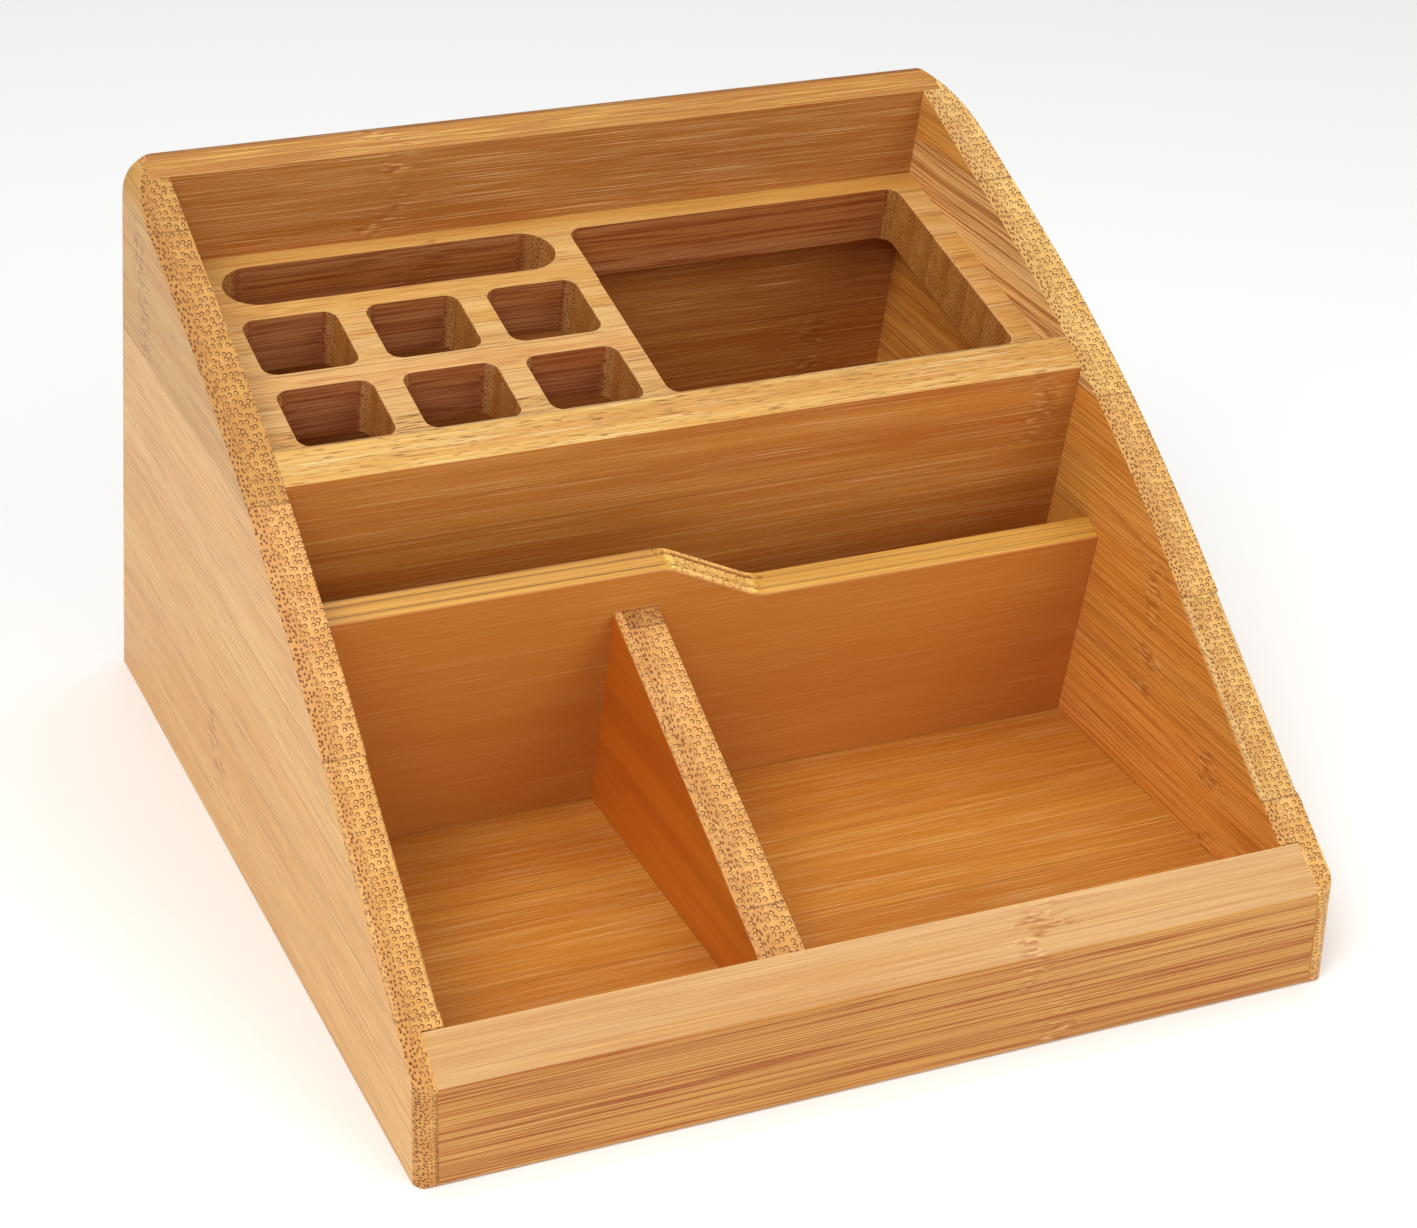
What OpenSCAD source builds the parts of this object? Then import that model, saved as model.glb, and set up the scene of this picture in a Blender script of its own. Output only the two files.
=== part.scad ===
// Desk organiser in glued bamboo: two sloping side panels, a leaning back board,
// a front rail, a floor, a drilled pen tray, two cross partitions and a divider.
// The origin is at the middle of the base, +Z is up and the low front faces -Y.

/* [Overall] */
// Width over the two side panels
width = 180; // [150:1:220]
// Depth from the front face to the rearmost point
depth = 205.5; // [202:0.5:212]
// Angle by which the back board and the partitions lean forward, and the tray falls
lean = 13; // [11:0.5:15]

/* [Boards] */
// Thickness of the side panels, the floor and the upper partition
board_t = 8; // [7:0.5:9]
// Thickness of the back board
back_t = 8; // [7:0.5:9]
// Thickness of the front rail
rail_t = 8.5; // [7:0.5:10]
// Thickness of the side panel left outside the rebates
lip_t = 4; // [3:0.5:5]
// Height of the floor's top face
floor_z = 11.8; // [10:0.1:14]
// Width of one bamboo stave in the back board, the floor, the partitions and the divider
stave_w = 28; // [26:0.5:30]
// Width of one bamboo stave in the left side panel
left_stave_w = 29.5; // [28:0.1:29.8]
// Width of one bamboo stave in the right side panel
right_stave_w = 26.4; // [26:0.1:28]

/* [Side profile] */
// Height of the front face at the foot of the slope
front_h = 20; // [18:0.5:22]
// Slope of the lower straight
low_slope = 37.7; // [36:0.1:38]
// Depth taken by the lower straight
low_run = 55; // [50:1:58]
// Radius of the bend between the two straights
bend_r = 323; // [300:1:340]
// Slope of the upper straight
top_slope = 22.9; // [21.5:0.1:23.5]
// Radius of the front foot corner
front_foot_r = 1; // [0.5:0.5:4]
// Radius of the rear foot corner
rear_foot_r = 1; // [0.5:0.5:4]
// Radius of the crest at the top of the back
crest_r = 1; // [0.5:0.5:4]
// Radius of the front top corner
front_top_r = 2; // [1:0.5:3]
// Radius of the four upright corners
corner_r = 3; // [1:0.5:3]
// Radius of the two top corners, seen from behind
top_corner_r = 9; // [6:0.5:10]

/* [Stave joints] */
// Height of the lowest joint in the left side panel
left_joint_z = 28; // [26:0.5:29]
// Height of the lowest joint in the right side panel
right_joint_z = 32; // [30:0.5:33]
// Distance of the topmost back board joint below the tray's top face
back_joint_drop = 6; // [3:0.5:9]
// Distance of the topmost upper partition joint below the tray's top face
upper_joint_drop = 12.8; // [12:0.1:13.5]
// Height of the lowest divider joint
divider_joint_z = 28.5; // [26:0.5:29.5]

/* [Pen tray] */
// Thickness of the tray
tray_t = 12.5; // [10:0.5:14]
// Height of the tray's top face at the back board
tray_rear_z = 102.6; // [101:0.1:104]
// Width of one strip of the tray
strip_w = 8.7; // [8.4:0.1:9]
// Width of the rearmost strip
first_strip_w = 7; // [6:0.5:8]
// Number of columns of pen holes
pen_cols = 3; // [2:1:3]
// Number of rows of pen holes
pen_rows = 2; // [1:1:2]
// Width of a pen hole
pen_w = 19.2; // [16:0.1:20]
// Length of a pen hole down the tray
pen_l = 18.4; // [16:0.1:19]
// Spacing of the columns
pen_pitch_x = 25.2; // [24:0.1:26]
// Spacing of the rows
pen_pitch_v = 23.5; // [22:0.1:24]
// Distance of the first row from the back board
pen_v = 22.5; // [21:0.1:23]
// Corner radius of a pen hole
pen_r = 3; // [2:0.5:5]
// Distance of the holes from the tray's left end
tray_margin = 8; // [6:0.5:9]
// Distance of the slot from the back board
slot_v = 4.3; // [3:0.1:6]
// Length of the slot down the tray
slot_l = 13.4; // [11:0.1:14]
// Distance of the big hole from the tray's right end
big_margin = 5.8; // [5:0.1:9]
// Distance of the big hole from the back board
big_v = 5.2; // [4:0.1:8]
// Width of the big hole
big_w = 75.5; // [60:0.5:75.5]
// Length of the big hole down the tray
big_l = 59.2; // [50:0.1:60]
// Corner radius of the big hole
big_r = 3; // [2:0.5:8]

/* [Partitions] */
// Depth of the upper partition's front face where it meets the slope
upper_y = 94.7; // [92:0.1:97]
// Height of the upper partition's front face where it meets the slope
upper_z = 87.8; // [86:0.1:90]
// Depth of the middle partition's front face at the floor
mid_y = 92.8; // [88:0.1:95]
// Thickness of the two outer plies of the middle partition
mid_ply_t = 1.3; // [1:0.1:1.6]
// Thickness of the core ply of the middle partition
mid_core_t = 2.2; // [1.8:0.1:2.8]
// Height of the middle partition's high part at its front face
mid_high_z = 66.8; // [62:0.1:70]
// Height of the middle partition's low part at its front face
mid_low_z = 56.6; // [52:0.1:58]
// Slope of the middle partition's top face
mid_bevel = 30; // [20:1:35]
// Place across the width where the step starts to fall
step_x0 = -12; // [-20:0.5:-8]
// Place across the width where the step ends
step_x1 = 7.5; // [5:0.5:20]
// Radius of the rounded corners of the step
step_r = 9; // [4:0.5:10]

/* [Divider] */
// Place of the divider's left face across the width
divider_x = -22.6; // [-30:0.1:-18]
// Thickness of the divider's thin face layer
divider_layer_t = 1.7; // [1.2:0.1:2]
// Thickness of the divider's staves
divider_t = 7.4; // [6:0.1:8]
// Height of the divider's top at the front rail
divider_front_z = 22.5; // [20:0.5:25]
// Height of the divider's top at the middle partition
divider_rear_z = 58.4; // [57:0.1:60]

/* [Hidden] */

side_staves = 5;
back_staves = 5;
floor_staves = 7;
upper_staves = 4;
divider_staves = 3;
tray_strips = 9;
// Larger than any board, for the cutting shapes
big = 400;
// Steps in a rounded corner and in the long bend
corner_steps = 12;
bend_steps = 24;

inner_w = width - 2 * board_t;
rebate_w = width - 2 * lip_t;

// A straight edge of an outline is given by the direction of its outward normal and by
// its distance k from the origin along that normal. meet() is where two such edges cross.
function meet(a1, k1, a2, k2) =
    [k1 * sin(a2) - k2 * sin(a1), k2 * cos(a1) - k1 * cos(a2)] / sin(a2 - a1);
function arc(centre, r, a1, a2, steps) =
    [for (i = [0:steps]) let (a = a1 + (a2 - a1) * i / steps) centre + r * [cos(a), sin(a)]];
function corner(a1, k1, a2, k2, r) =
    arc(meet(a1, k1 - r, a2, k2 - r), r, a1, a2, corner_steps);
function hollow_corner(a1, k1, a2, k2, r) =
    arc(meet(a1, k1 + r, a2, k2 + r), r, a1 + 180, a2 + 180, corner_steps);

// Edges of the side profile, in y (from the front face) and z
rear_foot_y = depth + rear_foot_r * (tan(lean) + 1 / cos(lean) - 1);
rear_k = rear_foot_y * cos(lean);
low_k = front_h * cos(low_slope);
bend_start = [low_run, front_h + low_run * tan(low_slope)];
bend_centre = bend_start + bend_r * [sin(low_slope), -cos(low_slope)];
top_normal = [-sin(top_slope), cos(top_slope)];
top_k = (bend_centre + bend_r * top_normal) * top_normal;
crest_z = meet(lean, rear_k, 90 + top_slope, top_k)[1];

// Places along the leaning axis p, square to the leaning boards, and q, up along them
back_p = rear_k - back_t;
upper_p = upper_y * cos(lean) + upper_z * sin(lean);
mid_p = mid_y * cos(lean) + floor_z * sin(lean);
tray_rear_y = (back_p - tray_rear_z * sin(lean)) / cos(lean);
tray_q = tray_rear_z * cos(lean) - tray_rear_y * sin(lean);
tray_front_p = upper_p + board_t;

// The middle partition's top is cut along a line that rises by mid_bevel; e is the
// height across that line of a point on the front face
function mid_front_y(z) = (mid_p - z * sin(lean)) / cos(lean);
function mid_e(z) = z * cos(mid_bevel) - mid_front_y(z) * sin(mid_bevel);

module body_outline() {
    polygon(concat(
        corner(180, 0, 270, 0, front_foot_r),
        corner(270, 0, 360 + lean, rear_k, rear_foot_r),
        corner(lean, rear_k, 90 + top_slope, top_k, crest_r),
        arc(bend_centre, bend_r, 90 + top_slope, 90 + low_slope, bend_steps),
        corner(90 + low_slope, low_k, 180, 0, front_top_r)
    ));
}

// Moves a piece from the building frame, where y starts at the front face
module placed() {
    translate([0, -depth / 2, 0]) children();
}

// Extrudes an outline drawn in y and z across the width
module across(x0, x1) {
    translate([x0, 0, 0]) rotate([90, 0, 90]) linear_extrude(x1 - x0) children();
}

// Turns a piece drawn in x, p and q into its leaning place
module leaning() {
    rotate([lean, 0, 0]) children();
}

// A slab of the leaning frame between two p and two q values, over the given width
module leaning_slab(w, p0, p1, q0, q1) {
    leaning() translate([-w / 2, p0, q0]) cube([w, p1 - p0, q1 - q0]);
}

// A level slab between two heights
module level_slab(z0, z1) {
    translate([-big, -big, z0]) cube([2 * big, 2 * big, z1 - z0]);
}

// Upright prism that rounds the two upright corners at the front
module front_rounding() {
    linear_extrude(2 * big, center = true)
        polygon(concat(
            corner(180, width / 2, 270, 0, corner_r),
            corner(270, 0, 360, width / 2, corner_r),
            [[width / 2, big], [-width / 2, big]]
        ));
}

// Leaning prism that rounds the two upright corners at the rear
module rear_rounding() {
    leaning()
        linear_extrude(2 * big, center = true)
            polygon(concat(
                [[-width / 2, -big], [width / 2, -big]],
                corner(0, width / 2, 90, rear_k, corner_r),
                corner(90, rear_k, 180, width / 2, corner_r)
            ));
}

// Level prism that rounds the two top corners
module top_rounding() {
    rotate([90, 0, 0])
        linear_extrude(2 * big, center = true)
            polygon(concat(
                [[-width / 2, -big], [width / 2, -big]],
                corner(0, width / 2, 90, crest_z, top_corner_r),
                corner(90, crest_z, 180, width / 2, top_corner_r)
            ));
}

module side_panel_blank() {
    difference() {
        intersection() {
            across(width / 2 - board_t, width / 2) body_outline();
            front_rounding();
            rear_rounding();
            top_rounding();
        }
        translate([0, -1, -1]) cube([rebate_w / 2, rail_t + 1, big]);
        leaning_slab(rebate_w, back_p, back_p + big, -big, big);
    }
}

// Stave n of a right-hand panel, counted from the base, with its lowest joint at joint_z
module side_stave(n, joint_z, w) {
    z0 = n == 1 ? -1 : joint_z + (n - 2) * w;
    z1 = n == side_staves ? big : joint_z + (n - 1) * w;
    color(n % 2 == 0 ? "burlywood" : "tan")
        placed()
            intersection() {
                side_panel_blank();
                level_slab(z0, z1);
            }
}

module right_side_stave(n) {
    side_stave(n, right_joint_z, right_stave_w);
}

module left_side_stave(n) {
    mirror([1, 0, 0]) side_stave(n, left_joint_z, left_stave_w);
}

// Stave n of the back board, counted from the base
module back_stave(n) {
    top_joint_q = tray_q - back_joint_drop;
    q0 = n == 1 ? -big : top_joint_q - (back_staves - n) * stave_w;
    q1 = n == back_staves ? big : top_joint_q - (back_staves - 1 - n) * stave_w;
    color(n % 2 == 0 ? "peru" : "sandybrown")
        placed()
            intersection() {
                across(-rebate_w / 2, rebate_w / 2) body_outline();
                top_rounding();
                leaning_slab(width, back_p, back_p + big, q0, q1);
            }
}

module front_rail() {
    color("burlywood")
        placed()
            intersection() {
                across(-rebate_w / 2, rebate_w / 2) body_outline();
                translate([-width / 2, -1, -1]) cube([width, rail_t + 1, big]);
            }
}

// Stave n of the floor, counted from the front rail
module floor_stave(n) {
    y0 = rail_t + (n - 1) * stave_w;
    y1 = n == floor_staves ? big : y0 + stave_w;
    color(n % 2 == 0 ? "peru" : "sandybrown")
        placed()
            intersection() {
                translate([-inner_w / 2, y0, floor_z - board_t]) cube([inner_w, y1 - y0, board_t]);
                leaning_slab(width, -big, back_p, -big, big);
            }
}

// Stave n of the upper partition, counted from the floor
module upper_partition_stave(n) {
    top_joint_q = tray_q - upper_joint_drop;
    q0 = n == 1 ? -big : top_joint_q - (upper_staves - n) * stave_w;
    q1 = n == upper_staves ? big : top_joint_q - (upper_staves - 1 - n) * stave_w;
    color(n % 2 == 0 ? "sandybrown" : "peru")
        placed()
            intersection() {
                across(-inner_w / 2, inner_w / 2) body_outline();
                leaning_slab(width, upper_p, upper_p + board_t, q0, q1);
                level_slab(floor_z, big);
            }
}

// Outline of the middle partition in x and e, high on the left and low on the right
module mid_outline() {
    high = mid_e(mid_high_z);
    low = mid_e(mid_low_z);
    fall = atan((high - low) / (step_x1 - step_x0));
    fall_k = [step_x0, high] * [sin(fall), cos(fall)];
    polygon(concat(
        [[-inner_w / 2, -big], [inner_w / 2, -big], [inner_w / 2, low]],
        hollow_corner(90, low, 90 - fall, fall_k, step_r),
        corner(90 - fall, fall_k, 90, high, step_r),
        [[-inner_w / 2, high]]
    ));
}

// A ply of the middle partition, t thick, starting at offset p behind the front face
module mid_ply(p, t, shade) {
    color(shade)
        placed()
            intersection() {
                rotate([90 + mid_bevel, 0, 0]) linear_extrude(2 * big, center = true) mid_outline();
                leaning_slab(width, mid_p + p, mid_p + p + t, -big, big);
                level_slab(floor_z, big);
            }
}

module mid_partition_front_ply() {
    mid_ply(0, mid_ply_t, "peru");
}

module mid_partition_core_ply() {
    mid_ply(mid_ply_t, mid_core_t, "burlywood");
}

module mid_partition_rear_ply() {
    mid_ply(mid_ply_t + mid_core_t, mid_ply_t, "peru");
}

// The divider from x0, t thick, between two heights
module divider_slice(x0, t, z0, z1) {
    rear_y = mid_front_y(divider_rear_z);
    placed()
        intersection() {
            across(x0, x0 + t)
                polygon([
                    [rail_t, floor_z],
                    [mid_y, floor_z],
                    [rear_y, divider_rear_z],
                    [rail_t, divider_front_z]
                ]);
            level_slab(z0, z1);
        }
}

module divider_face_layer() {
    color("peru") divider_slice(divider_x, divider_layer_t, 0, big);
}

// Stave n of the divider, counted from the floor
module divider_stave(n) {
    z0 = n == 1 ? 0 : divider_joint_z + (n - 2) * stave_w;
    z1 = n == divider_staves ? big : divider_joint_z + (n - 1) * stave_w;
    color(n % 2 == 0 ? "burlywood" : "tan")
        divider_slice(divider_x + divider_layer_t, divider_t, z0, z1);
}

// A hole with rounded corners; v is the distance down the tray from the back board
module tray_hole(x, v, w, l, r) {
    translate([x, back_p - v - l])
        polygon(concat(
            corner(180, 0, 270, 0, r),
            corner(270, 0, 360, w, r),
            corner(0, w, 90, l, r),
            corner(90, l, 180, 0, r)
        ));
}

module tray_holes() {
    x0 = tray_margin - inner_w / 2;
    slot_w = (pen_cols - 1) * pen_pitch_x + pen_w;
    tray_hole(x0, slot_v, slot_w, slot_l, slot_l / 2);
    for (i = [0:pen_cols - 1], j = [0:pen_rows - 1])
        tray_hole(x0 + i * pen_pitch_x, pen_v + j * pen_pitch_v, pen_w, pen_l, pen_r);
    tray_hole(inner_w / 2 - big_margin - big_w, big_v, big_w, big_l, big_r);
}

// Strip n of the tray, counted from the back board
module tray_strip(n) {
    p1 = n == 1 ? back_p : back_p - first_strip_w - (n - 2) * strip_w;
    p0 = n == tray_strips ? tray_front_p : back_p - first_strip_w - (n - 1) * strip_w;
    color(n % 3 == 0 ? "burlywood" : "wheat")
        placed() leaning()
            difference() {
                translate([-inner_w / 2, p0, tray_q - tray_t]) cube([inner_w, p1 - p0, tray_t]);
                translate([0, 0, tray_q - tray_t - 1]) linear_extrude(tray_t + 2) tray_holes();
            }
}

left_side_stave(1);  // left_side_stave_1
left_side_stave(2);  // left_side_stave_2
left_side_stave(3);  // left_side_stave_3
left_side_stave(4);  // left_side_stave_4
left_side_stave(5);  // left_side_stave_5
right_side_stave(1);  // right_side_stave_1
right_side_stave(2);  // right_side_stave_2
right_side_stave(3);  // right_side_stave_3
right_side_stave(4);  // right_side_stave_4
right_side_stave(5);  // right_side_stave_5
back_stave(1);  // back_stave_1
back_stave(2);  // back_stave_2
back_stave(3);  // back_stave_3
back_stave(4);  // back_stave_4
back_stave(5);  // back_stave_5
floor_stave(1);  // floor_stave_1
floor_stave(2);  // floor_stave_2
floor_stave(3);  // floor_stave_3
floor_stave(4);  // floor_stave_4
floor_stave(5);  // floor_stave_5
floor_stave(6);  // floor_stave_6
floor_stave(7);  // floor_stave_7
front_rail();
upper_partition_stave(1);  // upper_partition_stave_1
upper_partition_stave(2);  // upper_partition_stave_2
upper_partition_stave(3);  // upper_partition_stave_3
upper_partition_stave(4);  // upper_partition_stave_4
mid_partition_front_ply();
mid_partition_core_ply();
mid_partition_rear_ply();
divider_stave(1);  // divider_stave_1
divider_stave(2);  // divider_stave_2
divider_stave(3);  // divider_stave_3
divider_face_layer();
tray_strip(1);  // tray_strip_1
tray_strip(2);  // tray_strip_2
tray_strip(3);  // tray_strip_3
tray_strip(4);  // tray_strip_4
tray_strip(5);  // tray_strip_5
tray_strip(6);  // tray_strip_6
tray_strip(7);  // tray_strip_7
tray_strip(8);  // tray_strip_8
tray_strip(9);  // tray_strip_9
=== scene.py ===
"""Looks of the bamboo desk organiser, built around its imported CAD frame.

Every CAD node is one piece of bamboo. Each is shown as a copy with its open arrises
eased, in a solid bamboo material that follows the piece's own grain.
"""

import math
import random

import bmesh
import bpy
from mathutils import Matrix, Vector
from mathutils.bvhtree import BVHTree


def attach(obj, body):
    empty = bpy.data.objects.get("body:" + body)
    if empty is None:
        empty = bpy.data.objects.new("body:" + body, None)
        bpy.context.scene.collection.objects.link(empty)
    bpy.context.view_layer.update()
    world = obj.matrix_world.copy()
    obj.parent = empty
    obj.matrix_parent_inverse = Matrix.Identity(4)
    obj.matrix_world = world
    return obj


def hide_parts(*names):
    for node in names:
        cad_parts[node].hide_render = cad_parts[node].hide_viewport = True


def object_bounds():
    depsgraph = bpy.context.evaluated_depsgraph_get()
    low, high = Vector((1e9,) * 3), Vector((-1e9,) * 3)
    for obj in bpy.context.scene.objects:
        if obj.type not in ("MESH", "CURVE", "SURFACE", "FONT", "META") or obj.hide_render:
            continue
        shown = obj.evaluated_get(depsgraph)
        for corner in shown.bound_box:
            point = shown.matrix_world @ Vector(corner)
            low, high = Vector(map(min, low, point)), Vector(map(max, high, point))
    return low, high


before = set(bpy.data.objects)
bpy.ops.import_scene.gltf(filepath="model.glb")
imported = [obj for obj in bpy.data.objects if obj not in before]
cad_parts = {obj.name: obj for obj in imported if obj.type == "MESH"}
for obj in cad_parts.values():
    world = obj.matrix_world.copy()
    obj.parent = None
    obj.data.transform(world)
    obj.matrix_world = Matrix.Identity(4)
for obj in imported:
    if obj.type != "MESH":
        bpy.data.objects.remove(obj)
cad_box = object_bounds()

MM = 0.001

# ---------------------------------------------------------------- places from the frame
FRONT_Y = cad_box[0].y
LEAN = math.radians(13)  # the back board, the partitions and the tray lean by this
FLOOR_Z = 11.8  # height of the floor's top face, in millimetres
BACK_TOP_SLOPE = 22.9  # slopes of the top faces of the leaning boards, in degrees
UPPER_TOP_SLOPE = 28
MID_TOP_SLOPE = 30
X = Vector((1, 0, 0))
Y = Vector((0, 1, 0))
Z = Vector((0, 0, 1))
ACROSS = Vector((0, math.cos(LEAN), math.sin(LEAN)))  # square to the leaning boards
ALONG = Vector((0, -math.sin(LEAN), math.cos(LEAN)))  # up along the leaning boards


# ---------------------------------------------------------------- camera
CAMERA_AZIMUTH, CAMERA_ELEVATION, CAMERA_ROLL = (math.radians(a) for a in (-23.683, 27.356, 1.523))
CAMERA_LENS = 82.42
SENSOR_WIDTH = 36
# in metres, from the middle of the width, the front face and the base
CAMERA_PLACE = Vector((-0.2246, -0.42303 + FRONT_Y, 0.33997))


def make_camera():
    back = Vector((
        math.sin(CAMERA_AZIMUTH) * math.cos(CAMERA_ELEVATION),
        -math.cos(CAMERA_AZIMUTH) * math.cos(CAMERA_ELEVATION),
        math.sin(CAMERA_ELEVATION),
    ))
    level = Vector((math.cos(CAMERA_AZIMUTH), math.sin(CAMERA_AZIMUTH), 0))
    upright = back.cross(level)
    right = level * math.cos(CAMERA_ROLL) + upright * math.sin(CAMERA_ROLL)
    up = upright * math.cos(CAMERA_ROLL) - level * math.sin(CAMERA_ROLL)
    data = bpy.data.cameras.new("camera")
    data.lens = CAMERA_LENS
    data.sensor_width = SENSOR_WIDTH
    data.clip_start = 0.05
    data.clip_end = 20
    camera = bpy.data.objects.new("camera", data)
    axes = Matrix((right, up, back)).transposed()
    camera.matrix_world = Matrix.Translation(CAMERA_PLACE) @ axes.to_4x4()
    bpy.context.scene.collection.objects.link(camera)
    bpy.context.scene.camera = camera


# ---------------------------------------------------------------- shapes
WELD = 1e-6  # vertices closer than this are one
FLAT_ANGLE = math.radians(0.4)  # faces that meet at less than this are one
ARRIS_ANGLE = math.radians(25)  # an arris turns by at least this
SHARP_ANGLE = math.radians(32)
PROBE_IN = 0.4 * MM  # where a neighbour is looked for: in from the arris
PROBE_OUT = 0.12 * MM  # and off the face
PROBE_REACH = 4 * MM
PROBE_PARTS = (0.2, 0.5, 0.8)  # and along the arris
ARRIS_SEGMENTS = 3


def clean_mesh(node):
    """The CAD node's mesh as a bmesh, with its flat faces whole again."""
    bm = bmesh.new()
    bm.from_mesh(node.data)
    bmesh.ops.remove_doubles(bm, verts=bm.verts, dist=WELD)
    bmesh.ops.dissolve_limit(bm, angle_limit=FLAT_ANGLE, verts=bm.verts, edges=bm.edges)
    bmesh.ops.recalc_face_normals(bm, faces=bm.faces)
    return bm


def is_inside(point, tree):
    """True for a point inside the solid whose surface the tree holds."""
    near, normal, _, _ = tree.find_nearest(point, PROBE_REACH)
    return near is not None and (point - near).dot(normal) < 0


def is_open_edge(edge, others):
    """True for a convex arris with nothing glued against either of its faces."""
    if len(edge.link_faces) != 2 or not edge.is_convex or edge.calc_face_angle() < ARRIS_ANGLE:
        return False
    free = 0
    for part in PROBE_PARTS:
        point = edge.verts[0].co.lerp(edge.verts[1].co, part)
        covered = False
        for loop in edge.link_loops:
            run = loop.link_loop_next.vert.co - loop.vert.co
            inward = loop.face.normal.cross(run).normalized()
            probe = point + inward * PROBE_IN + loop.face.normal * PROBE_OUT
            covered = covered or any(is_inside(probe, tree) for tree in others)
        free += not covered
    return free > len(PROBE_PARTS) / 2


def eased_piece(name, bm, others, radius):
    """A copy of the piece with its open arrises rounded. The rounded faces are marked."""
    eased = bm.faces.layers.float.new("eased")
    arrises = [edge for edge in bm.edges if is_open_edge(edge, others)]
    if arrises:
        made = bmesh.ops.bevel(
            bm, geom=arrises, offset=radius, segments=ARRIS_SEGMENTS, profile=0.5,
            affect="EDGES", clamp_overlap=True, miter_outer="ARC",
        )
        for face in made["faces"]:
            face[eased] = 1.0
    mesh = bpy.data.meshes.new(name)
    bm.to_mesh(mesh)
    mesh.shade_smooth()
    mesh.set_sharp_from_angle(angle=SHARP_ANGLE)
    piece = bpy.data.objects.new(name, mesh)
    bpy.context.scene.collection.objects.link(piece)
    weighted = piece.modifiers.new("weighted", "WEIGHTED_NORMAL")
    weighted.keep_sharp = True
    weighted.weight = 100
    return piece


# ---------------------------------------------------------------- shader nodes
class Shader:
    """Short names for building a material's nodes."""

    def __init__(self, name):
        self.material = bpy.data.materials.new(name)
        self.material.use_nodes = True
        self.tree = self.material.node_tree
        self.tree.nodes.clear()

    def node(self, kind, inputs=(), **settings):
        made = self.tree.nodes.new("ShaderNode" + kind)
        for key, value in settings.items():
            setattr(made, key, value)
        for socket, value in dict(inputs).items():
            self.put(made.inputs[socket], value)
        return made

    def put(self, socket, value):
        if isinstance(value, bpy.types.NodeSocket):
            self.tree.links.new(value, socket)
        else:
            socket.default_value = value

    def output(self, inputs):
        """Closes the material with a surface of these inputs."""
        surface = self.node("BsdfPrincipled", inputs)
        self.node("OutputMaterial", {"Surface": surface.outputs["BSDF"]})
        return self.material

    def math(self, operation, a, b=0.0):
        return self.node("Math", {0: a, 1: b}, operation=operation).outputs[0]

    def add(self, a, b):
        return self.math("ADD", a, b)

    def sub(self, a, b):
        return self.math("SUBTRACT", a, b)

    def mul(self, a, b):
        return self.math("MULTIPLY", a, b)

    def absolute(self, a):
        return self.math("ABSOLUTE", a)

    def vector(self, x, y, z):
        return self.node("CombineXYZ", {0: x, 1: y, 2: z}).outputs[0]

    def dot(self, a, b):
        return self.node("VectorMath", {0: a, 1: b}, operation="DOT_PRODUCT").outputs["Value"]

    def split(self, a):
        return self.node("SeparateXYZ", {0: a}).outputs

    def smooth(self, value, low, high, out_low=0.0, out_high=1.0):
        """Eases from out_low at low to out_high at high."""
        return self.node(
            "MapRange", {0: value, 1: low, 2: high, 3: out_low, 4: out_high},
            interpolation_type="SMOOTHSTEP",
        ).outputs[0]

    def noise(self, place, detail, roughness=0.5):
        return self.node(
            "TexNoise", {"Vector": place, "Scale": 1.0, "Detail": detail, "Roughness": roughness},
        ).outputs

    def cells(self, x, y, randomness):
        return self.node(
            "TexVoronoi", {"Vector": self.vector(x, y, 0.0), "Scale": 1.0, "Randomness": randomness},
            voronoi_dimensions="2D",
        ).outputs

    def mix(self, amount, a, b, blend="MIX"):
        made = self.tree.nodes.new("ShaderNodeMix")
        made.data_type = "RGBA"
        made.blend_type = blend
        for socket, value in ((0, amount), (6, a), (7, b)):
            if not isinstance(value, (bpy.types.NodeSocket, float, int)):
                value = (*value, 1.0)[:4]
            self.put(made.inputs[socket], value)
        return made.outputs[2]


def srgb(red, green, blue):
    """A colour given as 0 to 255 display values, as linear values."""
    def linear(value):
        value = value / 255
        return value / 12.92 if value <= 0.04045 else ((value + 0.055) / 1.055) ** 2.4
    return linear(red), linear(green), linear(blue)


# ---------------------------------------------------------------- bamboo
FIBRE = srgb(156, 86, 32)
DARK = srgb(92, 46, 18)
EYE = srgb(112, 56, 12)
LIGHT_FLECK = srgb(240, 200, 136)
CUT_END = dict(end=srgb(214, 150, 78), end_light=srgb(226, 168, 96))
NO_TINT = (1.0, 1.0, 1.0)

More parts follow.
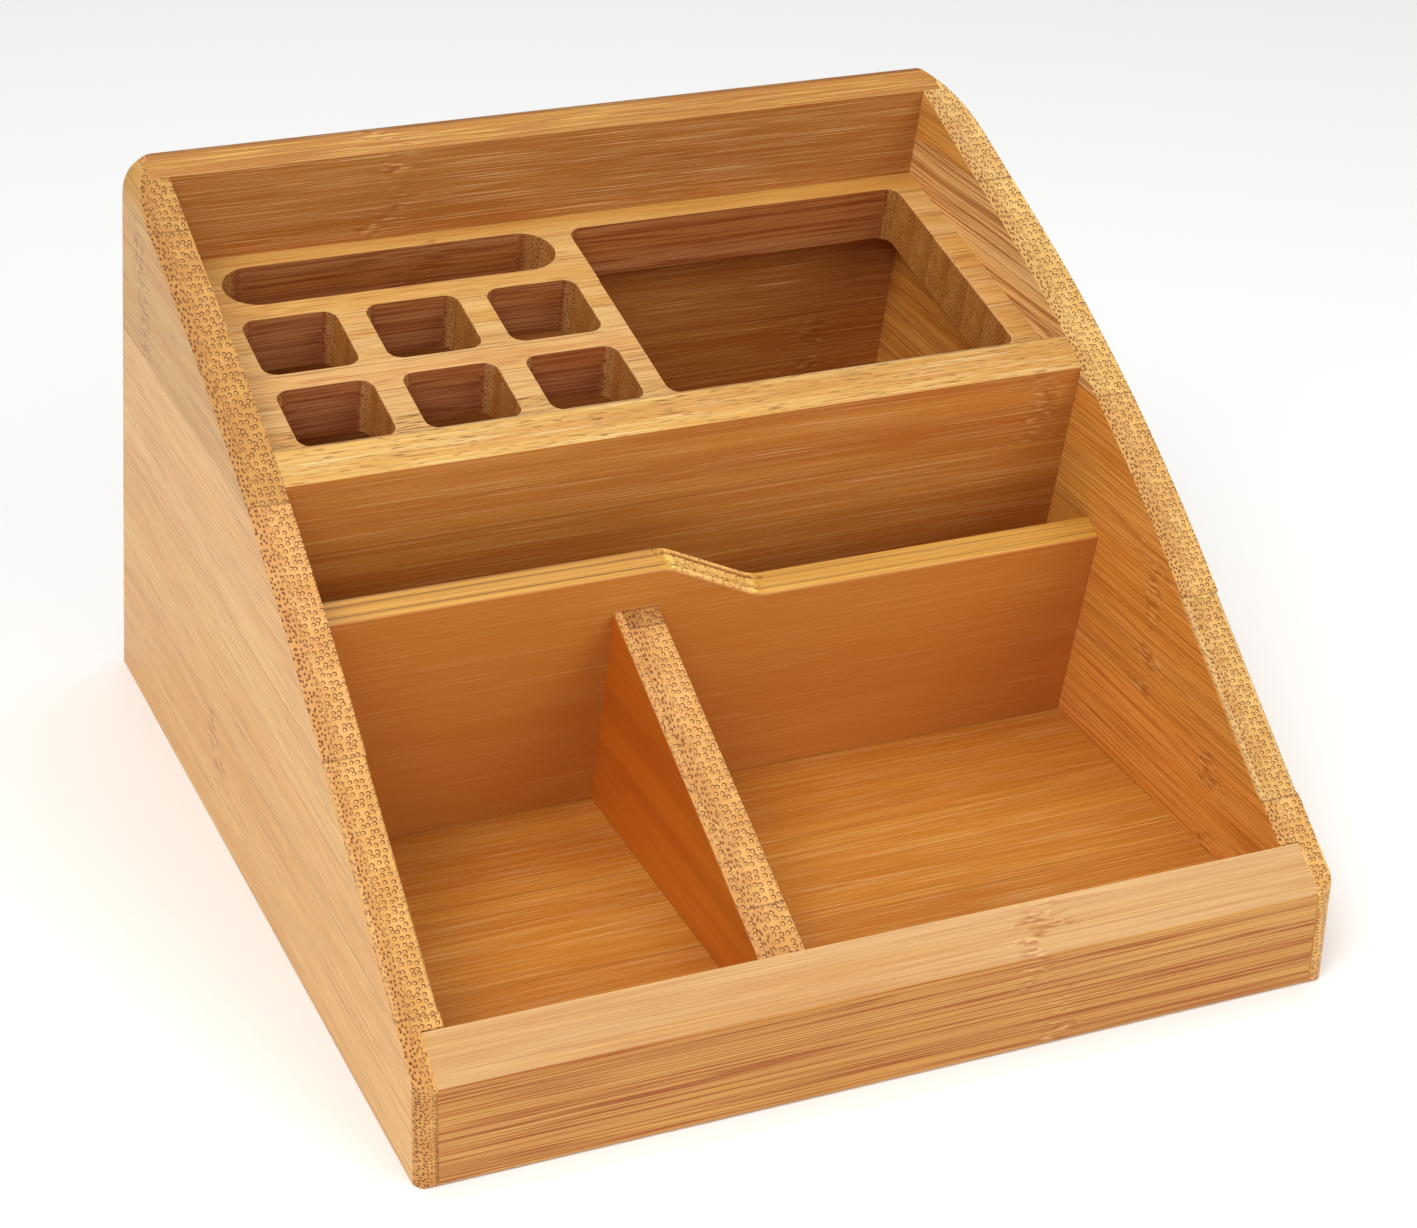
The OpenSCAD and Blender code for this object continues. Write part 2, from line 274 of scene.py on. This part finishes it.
# What differs between the kinds of board: the ground colours along the fibres and on cut
# ends, the spacing of the fibre bundles, how far the fibres wander, how strongly each kind
# of mark shows, and how many lines there are in a millimetre
STYLES = {
    "side": dict(
        light=srgb(232, 184, 108), deep=srgb(225, 167, 86),
        end=srgb(202, 146, 74), end_light=srgb(216, 165, 92),
        pitch=(0.72, 1.25), warp=0.8, rows=1.1, fine=0.2, lines=0.25, streak=0.05,
        fleck=0.15, dash=0.2, pores=0.0, eyes=1.0, arris=0.2,
    ),
    "back": dict(
        light=srgb(185, 124, 58), deep=srgb(174, 107, 42), **CUT_END,
        pitch=(1.1, 1.4), warp=0.8, rows=1.0, fine=0.2, lines=0.28, streak=0.04,
        fleck=0.5, dash=0.2, pores=0.0, eyes=0.7, arris=0.22,
    ),
    "floor": dict(
        light=srgb(192, 125, 40), deep=srgb(182, 111, 31), **CUT_END,
        pitch=(1.2, 1.5), warp=0.3, rows=1.2, fine=0.16, lines=0.2, streak=0.03,
        fleck=0.4, dash=0.15, pores=0.0, eyes=0.6, arris=0.2,
    ),
    "rail": dict(
        light=srgb(203, 160, 106), deep=srgb(194, 144, 82), **CUT_END,
        pitch=(1.1, 1.2), warp=0.25, rows=2.0, fine=0.16, lines=0.14, streak=0.04,
        fleck=0.2, dash=0.0, pores=0.0, eyes=0.6, arris=0.15,
    ),
    "partition": dict(
        light=srgb(193, 123, 49), deep=srgb(177, 103, 35), **CUT_END,
        pitch=(1.2, 1.5), warp=0.6, rows=1.0, fine=0.12, lines=0.08, streak=0.02,
        fleck=0.3, dash=0.08, pores=0.0, eyes=0.6, arris=0.2,
    ),
    "ply": dict(
        light=srgb(186, 114, 42), deep=srgb(183, 110, 40), **CUT_END,
        pitch=(1.2, 1.5), warp=0.6, rows=1.2, fine=0.04, lines=0.03, streak=0.01,
        fleck=0.12, dash=0.03, pores=0.0, eyes=0.6, arris=0.04,
    ),
    "divider": dict(
        light=srgb(228, 137, 46), deep=srgb(210, 117, 34),
        end=srgb(206, 146, 74), end_light=srgb(220, 165, 92),
        pitch=(0.66, 1.3), warp=0.8, rows=1.0, fine=0.08, lines=0.06, streak=0.03,
        fleck=0.12, dash=0.0, pores=0.0, eyes=0.95, arris=0.2,
    ),
    "tray": dict(
        light=srgb(214, 174, 107), deep=srgb(203, 151, 74),
        end=srgb(190, 132, 70), end_light=srgb(204, 150, 88),
        pitch=(1.1, 1.3), warp=1.2, rows=1.3, fine=0.2, lines=0.14, streak=0.12,
        fleck=0.2, dash=0.5, pores=0.0, eyes=0.7, arris=0.22,
    ),
}
MARKS = ("lines", "dash", "pores", "fleck")  # the marks that a single side can change

# Noises drawn out along the grain: (length in millimetres, rows in a millimetre across,
# detail, roughness)
WANDER = (60, 1 / 30, 1, 0.5)
FINE_FIBRES = (30, 3.0, 2, 0.6)
BROAD_BANDS = (150, 0.16, 2, 0.5)
MOTTLE = (6, 1 / 4, 3, 0.6)
DASHES = (10, 2.8, 0, 0.5)
PORES = (3.6, 4.5, 0, 0.5)
FLECKS = (24, 6.0, 0, 0.5)
STROKES = (3, 1.6, 2, 0.5)
PATCHES = (9, 1 / 7, 1, 0.5)
LINE_LENGTH = 120  # of the thin lines, whose rows in a millimetre are the style's
SHIFT = 400  # each piece is shifted in the noises, by up to this much either way

# The values between which a mark sets in, of its noise or of the distance to a bundle
BAND_EDGE = (0.32, 0.68)
DARK_FIBRE_EDGE = (0.46, 0.74)
PALE_FIBRE_EDGE = (0.5, 0.3)
LINE_EDGE = (0.085, 0.015)
DASH_EDGE = (0.56, 0.7)
FLECK_EDGE = (0.63, 0.74)
PORE_EDGE = (0.64, 0.72)
MOTTLE_EDGE = (0.35, 0.7)
PATCH_EDGE = (0.4, 0.58)
DARK_STROKE_EDGE = (0.46, 0.6)
PALE_STROKE_EDGE = (0.46, 0.34)
STREAK_EDGE = (0.42, 0.16)
HEART_EDGE = (0.14, 0.05)
RING_EDGE = (0.15, 0.05)
DOT_EDGE = (0.4, 0.18)

END_TURN = (0.16, 0.32)  # how far a face turns towards the grain before it is a cut end
SIDE_TURN = (0.85, 0.95)  # and towards a direction before it is that side
DENSE_WALL = (0.55, 0.12)  # parts of the culm's wall with no and with full density
RING_RADIUS = 0.27  # of the dark ring round a bundle, in bundle spacings
DOTS = (1.6, 1.5)  # dots of dense fibre in a millimetre, round the wall and through it

NODE_ROWS = 0.9  # of the noise, in a millimetre, that makes a culm node ragged
NODE_WAVE = 26.0  # range over which its strokes stray along the grain
NODE_REACH = 7.0  # how far from there they end
NODE_CORE = 1.0  # and how far from there they are strongest
NODE_DARK = 0.7  # strength of its dark strokes
NODE_PALE = 0.42  # and of its pale ones
JOINT_HALF_WIDTH = 0.16  # of a glue joint, with its soft edges
JOINT_CORE = 0.05  # half the width that is fully dark
JOINT_STRENGTH = 0.48
JOINT_ON_ENDS = 0.05  # how much weaker it is on cut ends
BUMP_HEIGHT = 0.06 * MM
BUMP_STRENGTH = 0.45
FIBRE_HEIGHT = 0.3  # parts of the bump height
FURROW_DEPTH = 0.4
JOINT_DEPTH = 0.5
ROUGHNESS = 0.36  # of the lacquer
FIBRE_ROUGHNESS = 0.12  # more than that along the fibres
END_ROUGHNESS = 0.12  # and on cut ends


class Bamboo(Shader):
    """Solid bamboo. Its lengths are in millimetres.

    grain, width and depth are the directions along the culm, round it and through its
    wall. wall is the piece's limits through the culm's wall, where the low side has the
    denser fibres.
    """

    def __init__(self, name, style, grain, width, depth, wall, seed):
        super().__init__(name)
        self.style = style
        self.place = self.node("TexCoord").outputs["Object"]
        self.facing = self.node("TexCoord").outputs["Normal"]
        self.ways = [self.dot(self.place, way / MM) for way in (grain, width, depth)]
        shift = random.Random(seed)
        self.straight = [self.add(way, shift.uniform(-SHIFT, SHIFT)) for way in self.ways]
        self.wander = self.split(self.drawn_out(WANDER, self.straight, "Color"))
        self.wavy = [self.straight[0], self.strayed(1), self.strayed(2)]
        self.ends = self.smooth(self.absolute(self.dot(self.facing, grain)), *END_TURN)
        self.fine = self.drawn_out(FINE_FIBRES, self.wavy)
        contour = self.drawn_out((LINE_LENGTH, style["rows"], 1, 0.5), self.wavy)
        self.line = self.smooth(self.absolute(self.sub(contour, 0.5)), *LINE_EDGE)
        self.dashes = self.smooth(self.drawn_out(DASHES, self.wavy), *DASH_EDGE)
        self.add_bundles(wall)

    def strayed(self, axis):
        """The place across the grain that a wandering fibre has come from."""
        stray = self.sub(self.wander[axis], 0.5)
        return self.add(self.straight[axis], self.mul(stray, 2 * self.style["warp"]))

    def drawn_out(self, noise, ways, output="Fac"):
        """A noise of the kind listed above, at these places along and across the grain."""
        length, rows, detail, roughness = noise
        along, across, through = ways
        place = self.vector(self.mul(along, 1 / length), self.mul(across, rows), self.mul(through, rows))
        return self.noise(place, detail, roughness)[output]

    def add_bundles(self, wall):
        """Vascular bundles: cells across the grain, drawn out along it.

        dense says how close the bundles are, far how far the nearest one is, and eye where
        a cut end is dark with them.
        """
        depth_in = self.math("DIVIDE", self.sub(self.ways[2], wall[0]), wall[1] - wall[0])
        uneven = self.mul(self.sub(self.wander[2], 0.5), 0.3)
        self.dense = self.smooth(self.add(depth_in, uneven), *DENSE_WALL)
        _, across, through = self.wavy
        pitch_across, pitch_through = self.style["pitch"]
        cell_v = self.mul(across, 1 / pitch_across)
        cell_w = self.mul(through, 1 / pitch_through)
        cells = self.cells(cell_v, cell_w, 0.5)
        self.far = cells["Distance"]
        centre = self.split(cells["Position"])
        off_v, off_w = self.sub(cell_v, centre[0]), self.sub(cell_w, centre[1])
        turn = self.math("DIVIDE", self.add(off_w, off_v), self.add(self.far, 0.01))
        lit_side = self.smooth(turn, -1.0, 0.9, 0.4, 1.0)
        ring = self.smooth(self.absolute(self.sub(self.far, RING_RADIUS)), *RING_EDGE)
        dots = self.cells(self.mul(across, DOTS[0]), self.mul(through, DOTS[1]), 0.7)["Distance"]
        self.eye = self.mix(self.dense, self.mul(ring, lit_side), self.smooth(dots, *DOT_EDGE))

    def layered(self, colour, layers):
        """The colour with (mask, strength, colour) layers over it."""
        for mask, strength, layer in layers:
            colour = self.mix(self.mul(mask, strength), colour, layer)
        return colour

    def long_face(self, strength):
        """Fine fibres, thin lines, broad bands, pores and pale flecks along the grain."""
        style = self.style
        broad = self.drawn_out(BROAD_BANDS, self.straight)
        flecks = self.drawn_out(FLECKS, self.straight)
        pores = self.drawn_out(PORES, self.straight)
        ground = self.mix(self.smooth(broad, *BAND_EDGE), style["light"], style["deep"])
        return self.layered(ground, (
            (self.smooth(self.fine, *DARK_FIBRE_EDGE), style["fine"] * 2, FIBRE),
            (self.smooth(self.fine, *PALE_FIBRE_EDGE), style["fine"], LIGHT_FLECK),
            (self.line, strength["lines"], FIBRE),
            (self.smooth(self.far, *STREAK_EDGE), style["streak"], FIBRE),
            (self.dashes, strength["dash"], FIBRE),
            (self.smooth(flecks, *FLECK_EDGE), strength["fleck"], LIGHT_FLECK),
            (self.smooth(pores, *PORE_EDGE), strength["pores"], EYE),
        ))

    def cut_end(self):
        """The bundles as eyes, dense towards the outside of the culm."""
        style = self.style
        mottle = self.drawn_out(MOTTLE, self.straight)
        ground = self.mix(self.smooth(mottle, *MOTTLE_EDGE), style["end"], style["end_light"])
        hearts = self.mul(self.smooth(self.far, *HEART_EDGE), self.sub(1.0, self.dense))
        return self.layered(ground, (
            (self.dense, 0.25, FIBRE),
            (hearts, 0.45, LIGHT_FLECK),
            (self.eye, style["eyes"], EYE),
        ))

    def culm_node(self, colour, band):
        """Ragged short strokes, darker and paler, across the piece."""
        _, across, through = self.straight
        place = self.vector(0.0, self.mul(across, NODE_ROWS), self.mul(through, NODE_ROWS))
        ragged = self.noise(place, 2)["Fac"]
        stray = self.mul(self.sub(ragged, 0.5), NODE_WAVE)
        away = self.absolute(self.add(self.sub(self.ways[0], band), stray))
        strokes = self.drawn_out(STROKES, self.straight)
        patches = self.smooth(self.drawn_out(PATCHES, self.straight), *PATCH_EDGE)
        zone = self.mul(self.smooth(away, NODE_REACH, NODE_CORE), self.sub(1.0, self.ends))
        zone = self.mul(zone, patches)
        return self.layered(colour, (
            (self.mul(zone, self.smooth(strokes, *DARK_STROKE_EDGE)), NODE_DARK, FIBRE),
            (self.mul(zone, self.smooth(strokes, *PALE_STROKE_EDGE)), NODE_PALE, LIGHT_FLECK),
        ))


def bamboo(name, kind, seed, tone, joints, wall, faces, band):
    """The material of a piece.

    kind is its entry in KINDS and tone a factor on all its colours. joints holds
    (direction, place) for the glue joints that show as dark lines, partly painted contact shade
    where a piece meets a side wall or the floor, and faces (direction, tint, marks) for the
    sides that differ from the rest. band is the place of a culm node along the grain, or None.
    """
    style_name, _, grain, width, depth, _ = kind
    style = STYLES[style_name]
    s = Bamboo(name, style, grain, width, depth, wall, seed)
    strength = {mark: style[mark] for mark in MARKS}
    side_tint = NO_TINT
    for direction, tint, marks in faces:
        here = s.smooth(s.dot(s.facing, direction), *SIDE_TURN)
        side_tint = s.mix(here, side_tint, tint)
        for mark, amount in marks.items():
            strength[mark] = s.add(strength[mark], s.mul(here, amount - style[mark]))

    colour = s.mix(s.ends, s.long_face(strength), s.cut_end())
    colour = s.mix(1.0, colour, side_tint, "MULTIPLY")
    if band is not None:
        colour = s.culm_node(colour, band)
    # sanded arrises are a little paler, and the same pale mix also paints a highlight along the rounded
    # edges
    eased = s.node("Attribute", attribute_name="eased", attribute_type="GEOMETRY").outputs["Fac"]
    colour = s.mix(s.mul(eased, style["arris"]), colour, LIGHT_FLECK)

    furrows = s.add(s.mul(s.eye, s.ends), s.mul(s.add(s.line, s.dashes), 0.5))
    height = s.sub(s.mul(s.fine, FIBRE_HEIGHT), s.mul(furrows, FURROW_DEPTH))
    joint_strength = s.sub(JOINT_STRENGTH, s.mul(s.ends, JOINT_ON_ENDS))
    for across, limit in joints:
        off = s.absolute(s.sub(s.dot(s.place, across / MM), limit))
        joint = s.smooth(off, JOINT_HALF_WIDTH, JOINT_CORE)
        colour = s.mix(s.mul(joint, joint_strength), colour, DARK)
        height = s.sub(height, s.mul(joint, JOINT_DEPTH))

    bump = s.node("Bump", {"Strength": BUMP_STRENGTH, "Distance": BUMP_HEIGHT, "Height": height})
    smoothest = s.add(ROUGHNESS, s.mul(s.ends, END_ROUGHNESS))
    return s.output({
        "Base Color": s.mix(1.0, colour, tone, "MULTIPLY"),
        "Roughness": s.add(s.mul(s.fine, FIBRE_ROUGHNESS), smoothest),
        "Normal": bump.outputs["Normal"],
        "Specular IOR Level": 0.35,
        "Coat Weight": 0.08,
        "Coat Roughness": 0.3,
    })


# ---------------------------------------------------------------- the organiser's pieces
# (style, record slot, grain, width, depth, arris radius in millimetres) of the nodes whose
# names start like this
KINDS = {
    "left_side": ("side", "side_bamboo", Y, Z, X, 0.9),
    "right_side": ("side", "side_bamboo", Y, Z, X, 0.9),
    "back": ("back", "back_bamboo", X, ALONG, ACROSS, 0.8),
    "floor": ("floor", "floor_bamboo", X, Y, Z, 0.3),
    "front_rail": ("rail", "rail_bamboo", X, Z, Y, 0.7),
    "divider": ("divider", "divider_bamboo", Y, Z, X, 0.35),
    "tray": ("tray", "tray_bamboo", X, ALONG, ACROSS, 0.3),
    "mid": ("ply", "partition_bamboo", X, ALONG, ACROSS, 0.4),
    "upper": ("partition", "partition_bamboo", X, ALONG, ACROSS, 0.4),
}

# Where a culm node crosses a piece, along its grain, in millimetres
BANDS = {
    "right_side_stave_1": -69, "right_side_stave_2": -44, "right_side_stave_3": -42,
    "left_side_stave_4": 62, "left_side_stave_1": 20, "back_stave_5": -38,
    "back_stave_3": 64, "back_stave_2": 70, "front_rail": 30, "tray_strip_1": -28,
    "tray_strip_9": 79, "floor_stave_6": 10, "upper_partition_stave_4": 76,
}

# Pieces cut from darker, redder or paler bamboo than the rest of their kind; the mid partition's plies
# are paler partly as painted light
TONES = {
    "left_side_stave_5": (0.8, 0.76, 0.55),
    "left_side_stave_4": (0.83, 0.78, 0.6),
    "left_side_stave_2": (0.97, 0.94, 0.9),
    "left_side_stave_1": (1, 0.96, 0.84),
    "right_side_stave_1": (1.05, 1.1, 1.12),
    "right_side_stave_2": (1.05, 1.12, 1.15),
    "right_side_stave_3": (1.05, 1.12, 1.15),
    "right_side_stave_4": (1.05, 1.2, 1.3),
    "right_side_stave_5": (1.05, 1.2, 1.4),
    "tray_strip_1": (0.97, 0.94, 0.82),
    "tray_strip_9": (1.12, 0.94, 1.0),
    "divider_face_layer": (0.95, 0.92, 0.9),
    "back_stave_3": (1.02, 0.93, 0.86),
    "divider_stave_3": (0.72, 0.66, 0.6),
    # the mid partition's plies are paler partly for their own colour and partly to paint light onto a
    # face that sits in shade
    "mid_partition_front_ply": (1.16, 1.24, 1.38),
    "mid_partition_core_ply": (1.0, 1.03, 1.15),
    "mid_partition_rear_ply": (1.02, 1.06, 1.12),
}

# How much lighter or darker a piece can be than its kind, and how much its red, green and
# blue can differ on their own
TONE_SEED = 5
SHADE_RANGE = (-0.04, 0.03)
HUE_RANGE = 0.02

# Which sides of a thin layer are glued: its low side and its high side, through the wall
GLUED_SIDES = {
    "mid_partition_front_ply": (False, True),
    "mid_partition_core_ply": (True, True),
    "mid_partition_rear_ply": (True, False),
    "divider_face_layer": (False, True),
}


def facing_up(slope):
    """The way a top face looks that rises towards the back by slope, in degrees."""
    return Vector((0, -math.sin(math.radians(slope)), math.cos(math.radians(slope))))


# Tint and marks of the side panels' inner faces, of the one stave there whose paler tint is a painted
# sheen, of the tray's faces that were sawn along and across the grain, and of its front strips' tops
# the inner faces' redder tint partly paints the warm light bounced about inside the organiser; their
# stronger lines are grain
INSIDE = (1.0, 0.74, 0.44), {"lines": 0.45}
# the paler inner tint of right_side_stave_4 is a painted sheen; its stronger lines are grain
SHEEN_INSIDE = (1.13, 1.06, 1.25), {"lines": 0.85}
SAWN = (0.72, 0.49, 0.53), {"lines": 0.7, "dash": 0.3}
SAWN_END = (0.97, 0.84, 0.58), {}
PORED = NO_TINT, {"pores": 0.85, "dash": 0.3}

# Sides whose colour or marks differ, of the nodes whose names start like this: (direction
# faced, tint, marks)
FACES = {
    "right_side": [(X, (0.97, 0.89, 0.86), {})],
    # the front rail's front face is darker partly as painted shade; its stronger lines and fewer flecks
    # are grain
    "front_rail": [(-Y, (0.96, 0.82, 0.46), {"lines": 1.0, "fleck": 0.1})],
    "back": [(facing_up(BACK_TOP_SLOPE), (1.0, 1.12, 0.7), {"lines": 0.6, "dash": 0.6})],
    "upper": [(facing_up(UPPER_TOP_SLOPE), (1.21, 1.82, 2.4), {"pores": 0.75, "dash": 0.2})],
    "mid": [(facing_up(MID_TOP_SLOPE), (1.12, 1.5, 1.2), {"lines": 0.5})],
    "divider_face": [(-X, (0.84, 0.74, 0.48), {})],
    "tray": [(ACROSS, *SAWN), (-ACROSS, *SAWN), (X, *SAWN_END), (-X, *SAWN_END)],
    "tray_strip_8": [(ALONG, *PORED)],
    "tray_strip_9": [(ALONG, *PORED)],
    "tray_strip_1": [(ALONG, NO_TINT, {"dash": 0.1, "lines": 0.1})],
}


def kind_of(name):
    """The entry of KINDS for a node."""
    return next(kind for start, kind in KINDS.items() if name.startswith(start))


def faces_of(name):
    """The sides of a node that differ from its rest, as in FACES."""
    faces = [face for start, own in FACES.items() if name.startswith(start) for face in own]
    if "side_stave" in name:
        inward = X if name.startswith("left") else -X
        # right_side_stave_4's inner face takes the painted sheen
        inside = SHEEN_INSIDE if name == "right_side_stave_4" else INSIDE
        faces.insert(0, (inward, *inside))
    return faces


def limits(mesh, direction):
    """The piece's lowest and highest place along a direction, in millimetres."""
    places = [vertex.co.dot(direction) / MM for vertex in mesh.vertices]
    return min(places), max(places)


def joints_of(name, mesh):
    """(direction, place) of each dark line at a node's limits: glue joints, and where it meets a side
    wall or the floor, glue joints with painted contact shade.
    """
    style, _, _, width, depth, _ = kind_of(name)
    joints = [(width, limit) for limit in limits(mesh, width)]
    if style == "tray":
        joints = [(depth, limit) for limit in limits(mesh, depth)]
    elif name in GLUED_SIDES:
        wall = limits(mesh, depth)
        joints += [(depth, limit) for limit, glued in zip(wall, GLUED_SIDES[name]) if glued]
    # where the partitions and the floor meet the side walls, and where the partitions and the divider
    # meet the floor, the dark line is partly a glue joint and partly painted contact shade
    if style in ("partition", "ply", "floor"):
        joints += [(X, end) for end in limits(mesh, X)]
    if style in ("partition", "ply", "divider"):
        joints.append((Z, FLOOR_Z))
    return joints


def tone_of(name, number):
    """The tone of a node, a little different from one to the next."""
    chance = random.Random(number + TONE_SEED)
    shade = 1 + chance.uniform(*SHADE_RANGE)
    own = TONES.get(name, NO_TINT)
    return tuple(part * shade * (1 + chance.uniform(-HUE_RANGE, HUE_RANGE)) for part in own)


def make_pieces():
    shapes = {name: clean_mesh(node) for name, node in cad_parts.items()}
    trees = {name: BVHTree.FromBMesh(bm) for name, bm in shapes.items()}
    for number, name in enumerate(sorted(shapes)):
        kind = kind_of(name)
        _, slot, _, _, depth, radius = kind
        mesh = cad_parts[name].data
        others = [tree for other, tree in trees.items() if other != name]
        piece = eased_piece(name + "_piece", shapes[name], others, radius * MM)
        piece.data.materials.append(bamboo(
            "bamboo_" + name, kind, number, tone_of(name, number), joints_of(name, mesh),
            limits(mesh, depth), faces_of(name), BANDS.get(name),
        ))
        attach(piece, "root")
        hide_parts(name)


# ---------------------------------------------------------------- studio
STUDIO_FLOOR_SIZE = 12  # metres, as all lengths here
LIGHTS_AIM = Vector((0, 0, 0.05))
# (name, place, width and depth, power in watts)
LIGHTS = (
    ("key", (-0.8, -0.7, 1.3), (0.9, 0.9), 17),
    ("fill", (0.7, -1.3, 0.8), (1.0, 1.0), 9),
    ("top", (0.1, 0.2, 1.5), (1.2, 1.2), 7),
)
SKY_STRENGTH = 0.42


def make_floor():
    bpy.ops.mesh.primitive_plane_add(size=STUDIO_FLOOR_SIZE)
    floor = bpy.context.object
    floor.name = "studio_floor"
    s = Shader("studio_floor")
    floor.data.materials.append(s.output({"Base Color": (0.93, 0.93, 0.92, 1), "Roughness": 0.6}))


def make_light(name, place, size, power):
    data = bpy.data.lights.new(name, "AREA")
    data.shape = "RECTANGLE"
    data.size, data.size_y = size
    data.energy = power
    light = bpy.data.objects.new(name, data)
    light.location = place
    aim = LIGHTS_AIM - Vector(place)
    light.rotation_euler = aim.to_track_quat("-Z", "Y").to_euler()
    bpy.context.scene.collection.objects.link(light)


def make_studio():
    make_floor()
    for light in LIGHTS:
        make_light(*light)
    world = bpy.data.worlds.new("studio")
    bpy.context.scene.world = world
    world.use_nodes = True
    background = world.node_tree.nodes["Background"]
    background.inputs["Color"].default_value = (1, 1, 1, 1)
    background.inputs["Strength"].default_value = SKY_STRENGTH
    bpy.context.scene.view_settings.view_transform = "Standard"


make_camera()
make_pieces()
make_studio()
